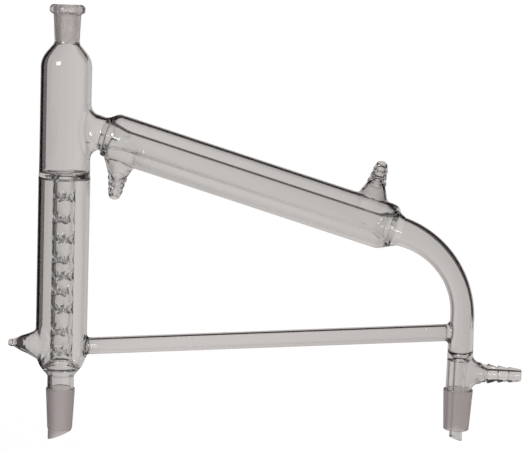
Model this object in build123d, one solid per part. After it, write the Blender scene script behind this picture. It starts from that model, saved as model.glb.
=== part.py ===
from build123d import *
import math
import os

# Jacketed indented-tube distillation head, blown as one hollow piece of glass.
# Millimetres. The column stands on Z. Z = 0 is the gauge plane of the pot cone, the plane of its 14.5 mm
# large end. +X runs towards the receiver leg and -Y towards the front.
# A profile is a list of corners (radius, height, corner rounding) turned about its own axis.

# Ground joints, 1 in 10 taper
joint_taper = 0.1
cone_gauge_od = 14.5
cone_ground_length = 20.0
socket_gauge_id = 10.0
socket_ground_length = 18.0
ground_step = 0.55

# Column head and thermometer socket
head_od = 25.3
head_wall = 1.4
head_top_z = 191.0
head_shoulder_z = 164.7
head_shoulder_rounding = 11.0
socket_bead_od = 17.9
socket_bead_height = 5.4
socket_upper_od = 13.9
socket_neck_od = 12.3
socket_neck_rounding = 2.6
socket_flare = 0.8

# Vacuum jacket round the indented tube
jacket_od = 25.8
jacket_wall = 1.4
jacket_seal_z = 107.8
jacket_step = 3.0
jacket_foot_z = 17.2
jacket_foot_rounding = 11.0
jacket_knee_od = 21.8
jacket_knee_z = 11.9
jacket_knee_rounding = 10.0
ring_seal_wall = 1.4
ring_seal_rise = 1.4
pot_neck_od = 13.3
pot_neck_wall = 1.3
pot_neck_top_z = 6.8
pot_bore_tip_d = 9.6
pot_tip_od = 11.8
pot_tip_z = -23.6
pot_tip_slope = 0.42

# Indented tube
vigreux_od = 11.2
vigreux_wall = 1.1
vigreux_foot_z = 16.6
vigreux_flare_od = 18.2
vigreux_flare_z = 11.6
dent_heights = (20.4, 30.6, 42.0, 50.8, 58.8, 66.9, 77.2, 87.1, 98.1)
dents_per_level = 4
dent_fall = 26.0
dent_mouth_d = 4.2
dent_tip_d = 0.9
dent_tip_offset = 1.6
dent_wall = 0.5

# Side arm and condenser, on one axis that falls towards the receiver
condenser_fall = 15.65
condenser_axis_z = 134.5
side_arm_od = 16.0
side_arm_wall = 1.4
side_arm_rounding = 5.0
side_arm_seal_s = 19.5
condenser_od = 23.6
condenser_wall = 1.3
condenser_shoulder_s = 24.9
condenser_shoulder_length = 7.4
condenser_shoulder_rounding = 4.5
condenser_joint_rounding = 2.5
condenser_foot_rounding = 8.0
inner_tube_od = 10.4
inner_tube_wall = 1.1
upper_flare_s = 31.4
upper_seal_s = 21.6
upper_seal_d = 14.8
lower_seal_d = 16.8

# Stations at the condenser's lower end, measured back from the start of the bend
condenser_foot_length = 8.6
lower_seal_length = 5.4
lower_flare_length = 12.2
coolant_lower_length = 16.6

# Elbow and receiver leg
leg_x = 198.3
elbow_radius = 44.0
elbow_ods = (14.4, 13.6, 12.9, 12.1, 11.6, 11.9)
elbow_wall = 1.25
leg_od = 12.7
leg_wall = 1.2
leg_seal_z = 28.8
receiver_gauge_z = 10.8
receiver_bore_d = 9.4
drip_od = 6.4
drip_wall = 1.0
drip_end_z = -13.9
drip_slope = 0.3

# Serrated hose connections
hose_crest_ods = (9.8, 8.5, 7.7)
hose_valley_ods = (8.4, 7.0, 6.5)
hose_tip_od = 5.8
hose_tip_edge = 0.5
hose_crest_rise = 0.6
hose_bore_d = 3.6
hose_wall = 1.3
vent_z = 19.5
vent_reach = 30.2
vent_crest_pitch = 5.1
vent_tip_length = 6.0
vent_root_od = 10.4
vent_root_length = 8.0
vent_rounding = 2.2
coolant_reach = 41.5
coolant_crest_pitch = 4.5
coolant_tip_length = 4.8
coolant_root_od = 20.8
coolant_root_length = 10.0
coolant_taper_length = 17.5
coolant_rounding = 3.0
coolant_upper_s = 30.6
coolant_upper_turn = 39.0
coolant_lower_turn = 53.0

# Brace between the jacket and the leg
brace_od = 8.7
brace_wall = 1.1
brace_axis_z = 21.3
brace_rise = 5.28
brace_rounding = 1.6

# Sealed-off vacuum nipple, its lengths measured out from the jacket
nipple_z = 22.2
nipple_wall = 1.1
nipple_base_od = 14.0
nipple_neck_od = 10.0
nipple_neck_length = 4.1
nipple_throat_od = 8.0
nipple_throat_length = 7.2
nipple_tip_od = 3.4
nipple_tip_length = 11.3
nipple_bead_od = 4.0
nipple_bead_length = 2.6
nipple_rounding = 3.0


def rounded_face(corners):
    """Face inside a closed outline of straight sides, each corner rounded by its own radius."""
    entries = []
    leaves = []
    mids = []
    count = len(corners)
    for i in range(count):
        here = Vector(corners[i][0], corners[i][1])
        radius = corners[i][2] if len(corners[i]) > 2 else 0.0
        if radius <= 0.0:
            entries.append(here)
            leaves.append(here)
            mids.append(None)
            continue
        before = Vector(corners[i - 1][0], corners[i - 1][1])
        after = Vector(corners[(i + 1) % count][0], corners[(i + 1) % count][1])
        back = (before - here).normalized()
        on = (after - here).normalized()
        half = math.radians(back.get_angle(on)) / 2
        reach = radius / math.tan(half)
        middle = (back + on).normalized()
        entries.append(here + back * reach)
        leaves.append(here + on * reach)
        mids.append(here + middle * (radius / math.sin(half) - radius))
    edges = []
    for i in range(count):
        if mids[i] is not None:
            edges.append(ThreePointArc(entries[i], mids[i], leaves[i]))
        start = leaves[i]
        end = entries[(i + 1) % count]
        if (end - start).length > 1e-6:
            edges.append(Line(start, end))
    return make_face(edges)


def turned(corners):
    """Solid of revolution about Z from corners in (radius, height)."""
    return revolve(Plane.XZ * rounded_face(corners), Axis.Z)


def across(origin, direction):
    """Plane across a direction, so that a turned profile runs along it."""
    return Plane(origin=origin, x_dir=(0, 1, 0), z_dir=direction)


# Derived values
fall = math.radians(condenser_fall)
axis_dir = Vector(math.cos(fall), 0, -math.sin(fall))
axis_up = Vector(math.sin(fall), 0, math.cos(fall))
axis_start = Vector(0, 0, condenser_axis_z)
condenser_plane = across(axis_start, axis_dir)
cone_gauge_r = cone_gauge_od / 2
cone_end_r = cone_gauge_r - cone_ground_length * joint_taper / 2
socket_gauge_r = socket_gauge_id / 2
socket_end_r = socket_gauge_r - socket_ground_length * joint_taper / 2
head_r = head_od / 2
head_in = head_r - head_wall
jacket_r = jacket_od / 2
jacket_in = jacket_r - jacket_wall
vigreux_r = vigreux_od / 2
vigreux_in = vigreux_r - vigreux_wall
pot_neck_r = pot_neck_od / 2
pot_neck_in = pot_neck_r - pot_neck_wall
arm_r = side_arm_od / 2
arm_in = arm_r - side_arm_wall
condenser_r = condenser_od / 2
condenser_in = condenser_r - condenser_wall
inner_r = inner_tube_od / 2
inner_in = inner_r - inner_tube_wall
leg_r = leg_od / 2
leg_in = leg_r - leg_wall
drip_r = drip_od / 2
drip_in = drip_r - drip_wall
elbow_start_r = elbow_ods[0] / 2
elbow_end_r = elbow_ods[-1] / 2
receiver_end_z = receiver_gauge_z - cone_ground_length
receiver_bore_r = receiver_bore_d / 2
brace_r = brace_od / 2
brace_in = brace_r - brace_wall
hose_bore = hose_bore_d / 2
vent_r = vent_root_od / 2
vent_in = vent_r - hose_wall
root_r = coolant_root_od / 2
root_in = root_r - hose_wall
nipple_base_r = nipple_base_od / 2
nipple_neck_r = nipple_neck_od / 2
nipple_throat_r = nipple_throat_od / 2
nipple_bead_r = nipple_bead_od / 2
nipple_spread = (nipple_base_r - nipple_neck_r) / nipple_neck_length
nipple_neck_reach = jacket_r + nipple_neck_length
nipple_throat_reach = jacket_r + nipple_throat_length
nipple_tip_reach = jacket_r + nipple_tip_length
nipple_reach = nipple_tip_reach + nipple_bead_length

# The bend touches the condenser axis and ends on the leg axis
elbow_centre_x = leg_x - elbow_radius
elbow_start_x = elbow_centre_x + elbow_radius * math.sin(fall)
elbow_start_z = condenser_axis_z - elbow_start_x * math.tan(fall)
elbow_centre_z = elbow_start_z - elbow_radius * math.cos(fall)
elbow_s = elbow_start_x / math.cos(fall)
condenser_foot_s = elbow_s - condenser_foot_length
lower_seal_s = elbow_s - lower_seal_length
lower_flare_s = elbow_s - lower_flare_length
coolant_lower_s = elbow_s - coolant_lower_length
elbow_turn = 90.0 - condenser_fall
leg_plane = across((leg_x, 0, 0), (0, 0, 1))


def elbow_plane(share):
    """Plane across the bend, from its start at share 0 to the upright leg at share 1."""
    angle = math.radians(elbow_turn * (1 - share))
    x = elbow_centre_x + elbow_radius * math.cos(angle)
    z = elbow_centre_z + elbow_radius * math.sin(angle)
    return across((x, 0, z), (math.sin(angle), 0, -math.cos(angle)))


def bend(inset):
    """Tapering bend of the elbow, its radius reduced by the inset."""
    steps = len(elbow_ods) - 1
    return loft([elbow_plane(i / steps) * Circle(od / 2 - inset) for i, od in enumerate(elbow_ods)])


def hose_corners(root, reach, pitch, tip_length):
    """Corners of a hose connection from its root corners out to its tip."""
    crest = reach - tip_length - (len(hose_crest_ods) - 1) * pitch
    corners = list(root)
    for crest_od, valley_od in zip(hose_crest_ods, hose_valley_ods):
        corners.append((valley_od / 2, crest - hose_crest_rise))
        corners.append((crest_od / 2, crest))
        crest += pitch
    corners.append((hose_tip_od / 2, reach - hose_tip_edge))
    corners.append((hose_tip_od / 2 - hose_tip_edge, reach))
    corners.append((0, reach))
    return corners


def dent(level, place, grow):
    """Indentation pointing inwards and down from the tube's surface, grown on all sides by a wall."""
    turn = 360.0 / dents_per_level * (place + 0.5 * (level % 2 == 0))
    z = dent_heights[level]
    slope = math.radians(dent_fall)
    mouth = dent_mouth_d / 2
    tip = dent_tip_d / 2
    length = (vigreux_r - dent_tip_offset) / math.cos(slope)
    spread = (mouth - tip) / length
    back = 1.2
    corners = [
        (0, -back),
        (mouth + back * spread + grow, -back),
        (tip + grow, length + grow, (tip + grow) * 0.8),
        (0, length + grow),
    ]
    plane = across((vigreux_r, 0, z), (-math.cos(slope), 0, -math.sin(slope)))
    return Rot(0, 0, turn) * plane * turned(corners)


def blended(body, added, radius):
    """Body with a tube fused on and the joint between them rounded."""
    joined = body + added
    return fillet(new_edges(body, added, combined=joined), radius)


# Outside of the column, from the drip tip up to the socket bead
column_outer = turned(
    [
        (0, pot_tip_z - 8),
        (pot_tip_od / 2, pot_tip_z - 8),
        (pot_tip_od / 2, -cone_ground_length - 0.5),
        (cone_end_r, -cone_ground_length),
        (cone_gauge_r, 0),
        (pot_neck_r, ground_step),
        (pot_neck_r, pot_neck_top_z, 1.5),
        (jacket_knee_od / 2, jacket_knee_z, jacket_knee_rounding),
        (jacket_r, jacket_foot_z, jacket_foot_rounding),
        (jacket_r, jacket_seal_z - jacket_step / 2, 2),
        (head_r, jacket_seal_z + jacket_step / 2, 2),
        (head_r, head_shoulder_z, head_shoulder_rounding),
        (socket_neck_od / 2, head_top_z - socket_ground_length - 0.6, socket_neck_rounding),
        (socket_upper_od / 2, head_top_z - socket_bead_height - 0.6, 0.8),
        (socket_bead_od / 2, head_top_z - socket_bead_height, 2.3),
        (socket_bead_od / 2, head_top_z, 2.6),
        (0, head_top_z),
    ]
)
tip_cut = Plane(origin=(0, 0, pot_tip_z), x_dir=(1, 0, pot_tip_slope), z_dir=(-pot_tip_slope, 0, 1))
column_outer -= tip_cut * Pos(0, 0, -10) * Box(40, 40, 20)

# Outside of the side arm and the condenser jacket
arm_length = condenser_shoulder_s + 3
arm_outer = condenser_plane * Pos(0, 0, arm_length / 2) * Cylinder(arm_r, arm_length)
shoulder_start_s = condenser_shoulder_s - condenser_shoulder_length
condenser_outer = condenser_plane * turned(
    [
        (0, shoulder_start_s),
        (arm_r - 1.4, shoulder_start_s),
        (condenser_r, condenser_shoulder_s, condenser_shoulder_rounding),
        (condenser_r, condenser_foot_s, condenser_foot_rounding),
        (elbow_start_r, elbow_s - 0.8, 1.5),
        (elbow_start_r, elbow_s),
        (0, elbow_s),
    ]
)

# Outside of the receiver leg, its cone and the drip tube below it
leg_outer = leg_plane * turned(
    [
        (0, receiver_end_z),
        (cone_end_r - 0.3, receiver_end_z),
        (cone_end_r, receiver_end_z + 0.3),
        (cone_gauge_r, receiver_gauge_z),
        (leg_r, receiver_gauge_z + ground_step),
        (leg_r, leg_seal_z + 4, 6),
        (elbow_end_r, elbow_centre_z - 3, 6),
        (elbow_end_r, elbow_centre_z),
        (0, elbow_centre_z),
    ]
)
drip_start_z = receiver_end_z + 2
drip_outer = leg_plane * turned(
    [(0, drip_end_z - 6), (drip_r, drip_end_z - 6), (drip_r, drip_start_z), (0, drip_start_z)]
)
drip_cut = Plane(origin=(leg_x, 0, drip_end_z), x_dir=(1, 0, -drip_slope), z_dir=(drip_slope, 0, 1))
drip_outer -= drip_cut * Pos(0, 0, -10) * Box(30, 30, 20)

# Outside of the vent, which points away from the column
vent_plane = across((leg_x, 0, vent_z), (1, 0, 0))
vent_root = [(0, 0), (vent_r, 0), (vent_r, vent_root_length, 8)]
vent_outer = vent_plane * turned(hose_corners(vent_root, vent_reach, vent_crest_pitch, vent_tip_length))

# Outside of the coolant connections, the upper pointing down and back, the lower up and back
upper_turn = math.radians(coolant_upper_turn)
lower_turn = math.radians(coolant_lower_turn)
upper_dir = axis_up * -math.cos(upper_turn) + Vector(0, math.sin(upper_turn), 0)
lower_dir = axis_up * math.cos(lower_turn) + Vector(0, math.sin(lower_turn), 0)
upper_plane = across(axis_start + axis_dir * coolant_upper_s, upper_dir)
lower_plane = across(axis_start + axis_dir * coolant_lower_s, lower_dir)
coolant_root = [(0, 3), (root_r, 3), (root_r, coolant_root_length, 4)]
coolant_outer = turned(
    hose_corners(coolant_root, coolant_reach, coolant_crest_pitch, coolant_tip_length)
)

# Outside of the brace and the nipple
rise = math.radians(brace_rise)
brace_dir = Vector(math.cos(rise), 0, math.sin(rise))
brace_plane = across((0, 0, brace_axis_z), brace_dir)
brace_length = leg_x / math.cos(rise)
brace_outer = brace_plane * Pos(0, 0, brace_length / 2) * Cylinder(brace_r, brace_length)
nipple_plane = across((0, 0, nipple_z), (-1, 0, 0))
nipple_start = vigreux_r + 0.4
nipple_outer = nipple_plane * turned(
    [
        (0, nipple_start),
        (nipple_base_r + nipple_spread * (jacket_r - nipple_start), nipple_start),
        (nipple_neck_r, nipple_neck_reach, 4),
        (nipple_throat_r, nipple_throat_reach, 2),
        (nipple_tip_od / 2, nipple_tip_reach, 1.2),
        (nipple_bead_r, nipple_tip_reach + nipple_bead_length * 0.4, 0.9),
        (nipple_bead_r * 0.65, nipple_reach, 0.8),
        (0, nipple_reach),
    ]
)

# Vapour path: pot cone, indented tube, head, side arm and inner tube
every_dent = [(level, place) for level in range(len(dent_heights)) for place in range(dents_per_level)]
column_bore = turned(
    [
        (0, pot_tip_z - 9),
        (pot_bore_tip_d / 2, pot_tip_z - 9),
        (pot_bore_tip_d / 2, -cone_ground_length, 2),
        (pot_neck_in, ground_step, 2),
        (pot_neck_in, pot_neck_top_z + 1.0, 1.2),
        (vigreux_flare_od / 2 - 1.2, vigreux_flare_z - 0.8, 1.0),
        (vigreux_in, vigreux_foot_z - 1.2, 3),
        (vigreux_in, jacket_seal_z, 0.8),
        (head_in, jacket_seal_z + ring_seal_rise, 1.2),
        (head_in, head_shoulder_z - 0.6, head_shoulder_rounding - head_wall),
        (socket_end_r, head_top_z - socket_ground_length - 0.4, 2),
        (socket_gauge_r, head_top_z - socket_flare),
        (socket_gauge_r + socket_flare + 0.3, head_top_z + 0.3),
        (0, head_top_z + 0.3),
    ]
)
column_bore -= [dent(level, place, dent_wall) for level, place in every_dent]
condenser_bore = condenser_plane * turned(
    [
        (0, 1),
        (arm_in, 1),
        (arm_in, side_arm_seal_s, 3),
        (inner_in, upper_flare_s - 0.4, 6),
        (inner_in, lower_flare_s + 0.1, 6),
        (lower_seal_d / 2 - 1.2, lower_seal_s + 1.6, 1.2),
        (elbow_start_r - elbow_wall, elbow_s - 0.8, 1.0),
        (elbow_start_r - elbow_wall, elbow_s),
        (0, elbow_s),
    ]
)
vapour = column_bore + condenser_bore

# Vapour path on through the leg, and the narrow drip tube
leg_bore = leg_plane * turned(
    [
        (0, elbow_centre_z),
        (elbow_end_r - elbow_wall, elbow_centre_z),
        (elbow_end_r - elbow_wall, elbow_centre_z - 3, 5),
        (leg_in, leg_seal_z + 4, 5),
        (leg_in, leg_seal_z + 1.4, 1.5),
        (drip_in, leg_seal_z - 2.2, 1.2),
        (drip_in, drip_end_z - 7),
        (0, drip_end_z - 7),
    ]
)

# Vacuum space between the indented tube and the jacket, on into the sealed nipple
vacuum = turned(
    [
        (vigreux_r, jacket_seal_z - ring_seal_wall, 1.0),
        (jacket_in, jacket_seal_z - ring_seal_wall + 0.5, 1.2),
        (jacket_in, jacket_foot_z + 0.26, jacket_foot_rounding - jacket_wall),
        (vigreux_flare_od / 2, vigreux_flare_z),
        (vigreux_r, vigreux_foot_z + 0.2, 3),
    ]
)
vacuum += [dent(level, place, 0) for level, place in every_dent]
nipple_in_start = jacket_in - 3.5
nipple_in_r = nipple_base_r - 1.1 * nipple_wall + nipple_spread * (jacket_r - nipple_in_start)
vacuum += nipple_plane * turned(
    [
        (0, nipple_in_start),
        (nipple_in_r, nipple_in_start),
        (nipple_neck_r - nipple_wall, nipple_neck_reach + 0.2, 3),
        (nipple_throat_r - nipple_wall, nipple_throat_reach - 0.2, 1.2),
        (0.8, nipple_tip_reach - 1.4, 0.5),
        (0, nipple_tip_reach - 1.4),
    ]
)

# Coolant space round the inner tube, open through its two connections
coolant = condenser_plane * turned(
    [
        (inner_r, upper_flare_s + 0.4, 6),
        (upper_seal_d / 2, upper_seal_s),
        (condenser_in, condenser_shoulder_s + 0.4, condenser_shoulder_rounding - condenser_wall),
        (condenser_in, condenser_foot_s - 0.7, condenser_foot_rounding - condenser_wall),
        (lower_seal_d / 2, lower_seal_s),
        (inner_r, lower_flare_s - 0.2, 5),
    ]
)
coolant_way = turned(
    [
        (0, coolant_root_length - 2),
        (root_in, coolant_root_length - 2),
        (root_in, coolant_root_length + 0.3, 3),
        (hose_bore, coolant_root_length + coolant_taper_length, 6),
        (hose_bore, coolant_reach + 1),
        (0, coolant_reach + 1),
    ]
)
coolant += [upper_plane * coolant_way, lower_plane * coolant_way]

# Vent space round the drip tube, open at the cone and through the vent
vent_space = leg_plane * turned(
    [
        (drip_r, leg_seal_z - 4.2),
        (leg_in, leg_seal_z - 1.4),
        (leg_in, receiver_gauge_z + 1, 2),
        (receiver_bore_r, receiver_end_z, 2),
        (receiver_bore_r, receiver_end_z - 1),
        (drip_r, receiver_end_z - 1),
    ]
)
vent_space += vent_plane * turned(
    [
        (0, (drip_r + leg_in) / 2),
        (vent_in, (drip_r + leg_in) / 2),
        (vent_in, vent_root_length + 0.5, 6),
        (hose_bore, vent_root_length + 5.5, 5),
        (hose_bore, vent_reach + 1),
        (0, vent_reach + 1),
    ]
)

# Sealed space in the brace
brace_start = jacket_r / math.cos(rise) + 0.6
brace_end = (leg_x - leg_r) / math.cos(rise) - 0.6
brace_space = brace_plane * turned(
    [(0, brace_start), (brace_in, brace_start), (brace_in, brace_end), (0, brace_end)]
)

# Outsides fused into one body, with the joints between the tubes blended
body = blended(column_outer, arm_outer, side_arm_rounding)
body = blended(body, condenser_outer, condenser_joint_rounding)
body += [bend(0), leg_outer]
body = blended(body, brace_outer, brace_rounding)
body = blended(body, vent_outer, vent_rounding)
body = blended(body, lower_plane * coolant_outer, coolant_rounding)
body = blended(body, nipple_outer, nipple_rounding)
body += [upper_plane * coolant_outer, drip_outer]

# Hollow spaces taken out one after the other
for space in (vapour, bend(elbow_wall), leg_bore, vacuum, coolant, vent_space, brace_space):
    body -= space

os.makedirs("parts", exist_ok=True)
export_step(body, "parts/glass_body.step")
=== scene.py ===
"""Looks for the jacketed indented-tube distillation column: one fused, hollow piece of clear glass.

Sizes are the part's own, in millimetres, and every mesh is made in metres in the part's frame. Z is up the
column, X runs to the receiver leg and -Y is the front. Z = 0 is the large end of the cone below the column.
"""

import logging
import math
from dataclasses import dataclass, field
from enum import Enum

import bpy
from mathutils import Matrix, Vector

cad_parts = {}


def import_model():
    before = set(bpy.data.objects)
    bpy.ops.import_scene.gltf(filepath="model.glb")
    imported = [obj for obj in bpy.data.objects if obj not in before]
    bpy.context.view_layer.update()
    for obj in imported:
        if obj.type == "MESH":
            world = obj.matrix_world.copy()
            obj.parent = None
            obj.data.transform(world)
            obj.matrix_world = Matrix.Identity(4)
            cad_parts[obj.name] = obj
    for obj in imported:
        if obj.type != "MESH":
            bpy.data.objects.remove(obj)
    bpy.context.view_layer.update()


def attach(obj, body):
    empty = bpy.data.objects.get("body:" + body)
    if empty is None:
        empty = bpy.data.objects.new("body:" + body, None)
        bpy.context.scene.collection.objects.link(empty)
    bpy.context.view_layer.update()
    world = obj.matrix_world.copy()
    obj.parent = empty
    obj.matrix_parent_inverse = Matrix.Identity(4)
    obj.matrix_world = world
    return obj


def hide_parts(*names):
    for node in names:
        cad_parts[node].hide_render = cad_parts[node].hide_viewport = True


log = logging.getLogger("column")
MM = 0.001
# Points nearer than this are one, in an outline and in a turned mesh, and a difference this small is none.
SAME_POINT = 0.02
SAME_VERTEX = 0.002
TINY = 1e-9
# Radius and height, with or without the rounding there, and radius and height alone.
Corner = tuple[float, ...]
Point = tuple[float, float]
# Point on a tube's axis, its direction and its radius.
Tube = tuple[Vector, Vector, float]
# Side of a tube, and how much smaller the rounding and the radius of the body are there.
Lip = tuple[Vector, float, float]


class Mix(Enum):
    """How one closed mesh acts on another."""

    JOIN = "UNION"
    CUT = "DIFFERENCE"


def deselect_all() -> None:
    """Leave edit mode and deselect every object."""
    if bpy.context.object and bpy.context.object.mode != "OBJECT":
        bpy.ops.object.mode_set(mode="OBJECT")
    bpy.ops.object.select_all(action="DESELECT")


def make_active(piece: bpy.types.Object) -> None:
    """Select one object alone and make it active.

    Args:
        piece: the object.
    """
    deselect_all()
    piece.select_set(True)
    bpy.context.view_layer.objects.active = piece


def swung(spoke: Vector, angle: float) -> Vector:
    """Flat vector turned by an angle, in radians."""
    cos, sin = math.cos(angle), math.sin(angle)
    return Vector((spoke.x * cos - spoke.y * sin, spoke.x * sin + spoke.y * cos))


def rounded(corners: list[Corner], turn: float, run: float, closed: bool = False) -> list[Point]:
    """Outline through corners, with its corners rounded and its long runs divided.

    Args:
        corners: (radius, height) or (radius, height, rounding), in millimetres.
        turn: largest turn between two points of a rounding, in degrees.
        run: longest straight run between two points, in millimetres.
        closed: whether the last corner joins the first.

    Returns:
        The points of the outline, in millimetres.
    """
    bends: list[list[Vector]] = []
    count = len(corners)
    for i, corner in enumerate(corners):
        here = Vector(corner[:2])
        if len(corner) < 3 or (not closed and i in (0, count - 1)):
            bends.append([here])
            continue
        back = (Vector(corners[i - 1][:2]) - here).normalized()
        on = (Vector(corners[(i + 1) % count][:2]) - here).normalized()
        half = back.angle(on) / 2
        middle = here + (back + on).normalized() * (corner[2] / math.sin(half))
        sweep = math.pi - 2 * half
        steps = max(2, math.ceil(math.degrees(sweep) / turn))
        first = here + back * (corner[2] / math.tan(half)) - middle
        side = 1.0 if back.x * on.y - back.y * on.x < 0 else -1.0
        bends.append([middle + swung(first, side * sweep * k / steps) for k in range(steps + 1)])
    points: list[Vector] = []
    for i, bend in enumerate(bends):
        if i:
            points += divided(points[-1], bend[0], run)
        points += bend
    if closed:
        points += divided(points[-1], points[0], run)
    clean: list[Vector] = []
    for p in points:
        if not clean or (p - clean[-1]).length > SAME_POINT:
            clean.append(p)
    if closed and (clean[0] - clean[-1]).length < SAME_POINT:
        clean.pop()
    return [(p.x, p.y) for p in clean]


def divided(start: Vector, end: Vector, run: float) -> list[Vector]:
    """Points between two ends, none further apart than a run and the ends left out."""
    steps = math.ceil((end - start).length / run)
    return [start.lerp(end, k / steps) for k in range(1, steps)]


def placed(origin: Vector, direction: Vector) -> Matrix:
    """Frame at an origin, in millimetres, whose Z runs along a direction and whose X lies across it.

    Args:
        origin: place of the frame's origin, in millimetres.
        direction: direction of its Z.

    Returns:
        The matrix from that frame to the part's frame, in metres.
    """
    z = direction.normalized()
    x = Vector((0, 1, 0))
    x = (x - z * x.dot(z)).normalized()
    y = z.cross(x)
    turned = Matrix((x, y, z)).transposed().to_4x4()
    return Matrix.Translation(origin * MM) @ turned


def lathe(name: str, corners: list[Corner], place: Matrix, segments: int, ring: bool = False,
          turn: float = 12.0, run: float = 9.0) -> bpy.types.Object:
    """Closed mesh turned about its own Z, then set in place.

    Args:
        name: name of the object.
        corners: outline in (radius, height, rounding), in millimetres.
        place: matrix from the turning frame to the part's frame.
        segments: steps of the full turn.
        ring: whether the outline is closed, as for a space round a tube.
        turn: largest turn between two points of a rounding, in degrees.
        run: longest straight run, in millimetres.

    Returns:
        The turned object, its place in its mesh.
    """
    points = rounded(corners, turn, run, closed=ring)
    deselect_all()
    bpy.ops.mesh.primitive_plane_add(size=MM)
    piece = bpy.context.object
    piece.name = piece.data.name = name
    bpy.ops.object.mode_set(mode="EDIT")
    bpy.ops.mesh.select_mode(type="VERT")
    bpy.ops.mesh.select_all(action="SELECT")
    bpy.ops.mesh.merge(type="CENTER")
    r, z = points[0]
    bpy.ops.transform.translate(value=(r * MM, 0, z * MM))
    for (r0, z0), (r1, z1) in zip(points, points[1:]):
        move = {"value": ((r1 - r0) * MM, 0, (z1 - z0) * MM)}
        bpy.ops.mesh.extrude_region_move(TRANSFORM_OT_translate=move)
    if ring:
        bpy.ops.object.mode_set(mode="OBJECT")
        for i, vertex in enumerate(piece.data.vertices):
            vertex.select = i in (0, len(piece.data.vertices) - 1)
        bpy.ops.object.mode_set(mode="EDIT")
        bpy.ops.mesh.edge_face_add()
    bpy.ops.mesh.select_all(action="SELECT")
    bpy.ops.mesh.spin(steps=segments, angle=2 * math.pi, center=(0, 0, 0), axis=(0, 0, 1))
    bpy.ops.mesh.select_all(action="SELECT")
    bpy.ops.mesh.remove_doubles(threshold=SAME_VERTEX * MM)
    bpy.ops.mesh.normals_make_consistent(inside=False)
    bpy.ops.object.mode_set(mode="OBJECT")
    piece.data.transform(place)
    return piece


@dataclass
class Path:
    """Centre line of the condenser, elbow and receiver leg, by length from the column's axis."""

    fall: float = 15.65
    start_z: float = 134.5
    leg_x: float = 198.3
    bend_radius: float = 42.6
    bend_step: float = 2.2

    def __post_init__(self) -> None:
        """Work out where the bend starts and ends."""
        a = math.radians(self.fall)
        self.along = Vector((math.cos(a), 0, -math.sin(a)))
        self.up = Vector((math.sin(a), 0, math.cos(a)))
        self.centre_x = self.leg_x - self.bend_radius
        bend_x = self.centre_x + self.bend_radius * math.sin(a)
        self.bend_s = bend_x / math.cos(a)
        self.centre_z = self.start_z - bend_x * math.tan(a) - self.bend_radius * math.cos(a)
        self.sweep = math.radians(90 - self.fall)
        self.leg_s = self.bend_s + self.bend_radius * self.sweep

    def on_axis(self, s: float) -> Vector:
        """Point on the condenser's axis."""
        return Vector((0, 0, self.start_z)) + self.along * s

    def at_height(self, z: float) -> float:
        """Length at which the leg passes a height."""
        return self.leg_s + self.centre_z - z

    def point(self, s: float) -> tuple[Vector, float]:
        """Centre and slope at a length.

        Args:
            s: length along the path, in millimetres.

        Returns:
            The centre, in millimetres, and how far the path falls below level, in radians.
        """
        if s <= self.bend_s:
            return self.on_axis(s), math.radians(self.fall)
        if s >= self.leg_s:
            return Vector((self.leg_x, 0, self.centre_z - (s - self.leg_s))), math.pi / 2
        part = (s - self.bend_s) / self.bend_radius
        angle = self.sweep - part
        centre = Vector((self.centre_x, 0, self.centre_z))
        spoke = Vector((math.cos(angle), 0, math.sin(angle)))
        return centre + spoke * self.bend_radius, math.radians(self.fall) + part

    def tube(self, name: str, corners: list[Corner], segments: int) -> bpy.types.Object:
        """Closed tube along the path, extruded ring by ring from a circle.

        Args:
            name: name of the object.
            corners: outline in (radius, length, rounding), in millimetres.
            segments: points round the tube.

        Returns:
            The tube, its place in its mesh.
        """
        outline = [(s, r) for r, s in rounded(corners, turn=10.0, run=9.0)]
        fine: list[Point] = []
        for (s0, r0), (s1, r1) in zip(outline, outline[1:]):
            inside = s1 > self.bend_s and s0 < self.leg_s
            steps = max(1, math.ceil((s1 - s0) / self.bend_step)) if inside else 1
            fine += [(s0 + (s1 - s0) * k / steps, r0 + (r1 - r0) * k / steps) for k in range(steps)]
        fine.append(outline[-1])
        centre, slope = self.point(fine[0][0])
        deselect_all()
        bpy.ops.mesh.primitive_circle_add(
            vertices=segments,
            radius=fine[0][1] * MM,
            fill_type="NGON",
            location=centre * MM,
            rotation=(0, math.pi / 2 + slope, 0),
        )
        piece = bpy.context.object
        piece.name = piece.data.name = name
        bpy.ops.object.transform_apply(location=True, rotation=True, scale=True)
        bpy.ops.object.mode_set(mode="EDIT")
        bpy.ops.mesh.select_all(action="SELECT")
        radius = fine[0][1]
        for s, r in fine[1:]:
            ahead, steeper = self.point(s)
            move = {"value": (ahead - centre) * MM}
            bpy.ops.mesh.extrude_region_move(TRANSFORM_OT_translate=move)
            if abs(steeper - slope) > TINY:
                bpy.ops.transform.rotate(value=slope - steeper, orient_axis="Y", center_override=ahead * MM)
            if abs(r - radius) > TINY:
                bpy.ops.transform.resize(value=(r / radius,) * 3, center_override=ahead * MM)
            centre, slope, radius = ahead, steeper, r
        bpy.ops.mesh.select_all(action="SELECT")
        bpy.ops.mesh.normals_make_consistent(inside=False)
        bpy.ops.object.mode_set(mode="OBJECT")
        return piece


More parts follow.
